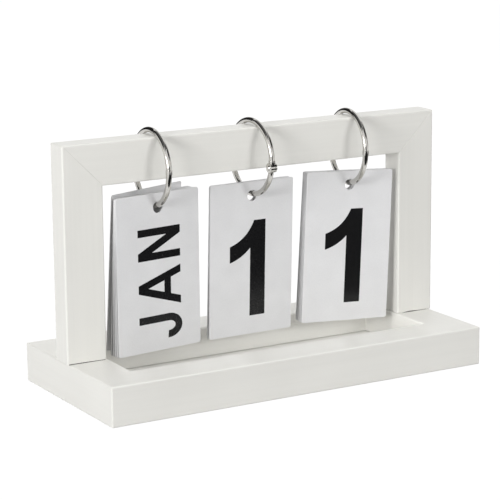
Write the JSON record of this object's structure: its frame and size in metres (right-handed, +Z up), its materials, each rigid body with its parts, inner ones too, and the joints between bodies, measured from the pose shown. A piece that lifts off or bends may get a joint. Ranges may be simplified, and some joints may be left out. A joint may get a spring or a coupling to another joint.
{
  "type": "perpetual flip calendar",
  "caption": "Painted wooden desk calendar: tray base, upright frame and hinged wire rings carrying flip cards for the month and the date.",
  "frame": {"origin": "middle of the base's footprint, on the table", "axes": "+Z up, +X to the right seen from the front, +Y to the back"},
  "size_m": [0.252, 0.113, 0.1547],
  "materials": {
    "painted_wood": "matt off-white paint over wood",
    "dowel_wood": "bare beech",
    "zinc_steel": "zinc plated",
    "nickel_wire": "bright nickel plate",
    "card_stock": "stiff white card, printed in black"
  },
  "bodies": {
    "stand": {"base_front_rail": "painted_wood", "base_rear_rail": "painted_wood", "base_left_rail": "painted_wood", "base_right_rail": "painted_wood", "tray_floor": "painted_wood", "base_dowels": "dowel_wood", "left_post": "painted_wood", "right_post": "painted_wood", "top_bar": "painted_wood", "frame_dowels": "dowel_wood", "post_screws": "zinc_steel"},
    "month_ring": {"month_ring_lower": "nickel_wire"},
    "month_ring_gate": {"month_ring_upper": "nickel_wire", "month_ring_rivet": "nickel_wire"},
    "month_card_1": {"month_card_1": "card_stock"},
    "month_card_2": {"month_card_2": "card_stock"},
    "month_card_3": {"month_card_3": "card_stock"},
    "month_card_4": {"month_card_4": "card_stock"},
    "month_card_5": {"month_card_5": "card_stock"},
    "month_card_6": {"month_card_6": "card_stock"},
    "tens_ring": {"tens_ring_lower": "nickel_wire"},
    "tens_ring_gate": {"tens_ring_upper": "nickel_wire", "tens_ring_rivet": "nickel_wire"},
    "tens_card_1": {"tens_card_1": "card_stock"},
    "tens_card_2": {"tens_card_2": "card_stock"},
    "ones_ring": {"ones_ring_lower": "nickel_wire"},
    "ones_ring_gate": {"ones_ring_upper": "nickel_wire", "ones_ring_rivet": "nickel_wire"},
    "ones_card_1": {"ones_card_1": "card_stock"},
    "ones_card_2": {"ones_card_2": "card_stock"},
    "ones_card_3": {"ones_card_3": "card_stock"},
    "ones_card_4": {"ones_card_4": "card_stock"},
    "ones_card_5": {"ones_card_5": "card_stock"}
  },
  "joints": [
    {"name": "month_ring_slide", "type": "slide", "parent": "stand", "child": "month_ring", "axis": [1, 0, 0], "range_m": [-0.004, 0.0025]},
    {"name": "month_ring_open", "type": "hinge", "parent": "month_ring", "child": "month_ring_gate", "pos_m": [-0.06571, 0.02661, 0.12909], "axis": [-0.9999, 0.0122, 0], "range_deg": [0, 60]},
    {"name": "month_card_1_flip", "type": "hinge", "parent": "month_card_2", "child": "month_card_1", "pos_m": [-0.06598, 0.0047, 0.13101], "axis": [-0.9999, 0.0122, 0], "range_deg": [0, 42]},
    {"name": "month_card_2_flip", "type": "hinge", "parent": "month_card_3", "child": "month_card_2", "pos_m": [-0.06598, 0.0047, 0.13101], "axis": [-0.9999, 0.0122, 0], "range_deg": [0, 15]},
    {"name": "month_card_3_flip", "type": "hinge", "parent": "month_ring", "child": "month_card_3", "pos_m": [-0.06598, 0.0047, 0.13101], "axis": [-0.9999, 0.0122, 0], "range_deg": [0, 15]},
    {"name": "month_card_4_flip", "type": "hinge", "parent": "month_ring", "child": "month_card_4", "pos_m": [-0.06598, 0.0047, 0.13101], "axis": [-0.9999, 0.0122, 0], "range_deg": [-12, 0]},
    {"name": "month_card_5_flip", "type": "hinge", "parent": "month_card_4", "child": "month_card_5", "pos_m": [-0.06598, 0.0047, 0.13101], "axis": [-0.9999, 0.0122, 0], "range_deg": [-12, 0]},
    {"name": "month_card_6_flip", "type": "hinge", "parent": "month_card_5", "child": "month_card_6", "pos_m": [-0.06598, 0.0047, 0.13101], "axis": [-0.9999, 0.0122, 0], "range_deg": [-26, 0]},
    {"name": "tens_ring_slide", "type": "slide", "parent": "stand", "child": "tens_ring", "axis": [1, 0, 0], "range_m": [-0.002, 0.001]},
    {"name": "tens_ring_open", "type": "hinge", "parent": "tens_ring", "child": "tens_ring_gate", "pos_m": [0.00168, -0.01701, 0.12757], "axis": [0.9991, 0.0419, 0], "range_deg": [0, 60]},
    {"name": "tens_card_1_flip", "type": "hinge", "parent": "tens_ring", "child": "tens_card_1", "pos_m": [0.00077, 0.0047, 0.13101], "axis": [-0.9991, -0.0419, 0], "range_deg": [0, 45]},
    {"name": "tens_card_2_flip", "type": "hinge", "parent": "tens_ring", "child": "tens_card_2", "pos_m": [0.00077, 0.0047, 0.13101], "axis": [-0.9991, -0.0419, 0], "range_deg": [-90, 0]},
    {"name": "ones_ring_slide", "type": "slide", "parent": "stand", "child": "ones_ring", "axis": [1, 0, 0], "range_m": [-0.001, 0.002]},
    {"name": "ones_ring_open", "type": "hinge", "parent": "ones_ring", "child": "ones_ring_gate", "pos_m": [0.06992, 0.02664, 0.13024], "axis": [-0.9979, 0.0645, 0], "range_deg": [0, 60]},
    {"name": "ones_card_1_flip", "type": "hinge", "parent": "ones_card_2", "child": "ones_card_1", "pos_m": [0.0685, 0.0047, 0.13101], "axis": [-0.9979, 0.0645, 0], "range_deg": [0, 42]},
    {"name": "ones_card_2_flip", "type": "hinge", "parent": "ones_card_3", "child": "ones_card_2", "pos_m": [0.0685, 0.0047, 0.13101], "axis": [-0.9979, 0.0645, 0], "range_deg": [0, 15]},
    {"name": "ones_card_3_flip", "type": "hinge", "parent": "ones_ring", "child": "ones_card_3", "pos_m": [0.0685, 0.0047, 0.13101], "axis": [-0.9979, 0.0645, 0], "range_deg": [0, 15]},
    {"name": "ones_card_4_flip", "type": "hinge", "parent": "ones_ring", "child": "ones_card_4", "pos_m": [0.0685, 0.0047, 0.13101], "axis": [-0.9979, 0.0645, 0], "range_deg": [-20, 0]},
    {"name": "ones_card_5_flip", "type": "hinge", "parent": "ones_card_4", "child": "ones_card_5", "pos_m": [0.0685, 0.0047, 0.13101], "axis": [-0.9979, 0.0645, 0], "range_deg": [-48, 0]}
  ]
}
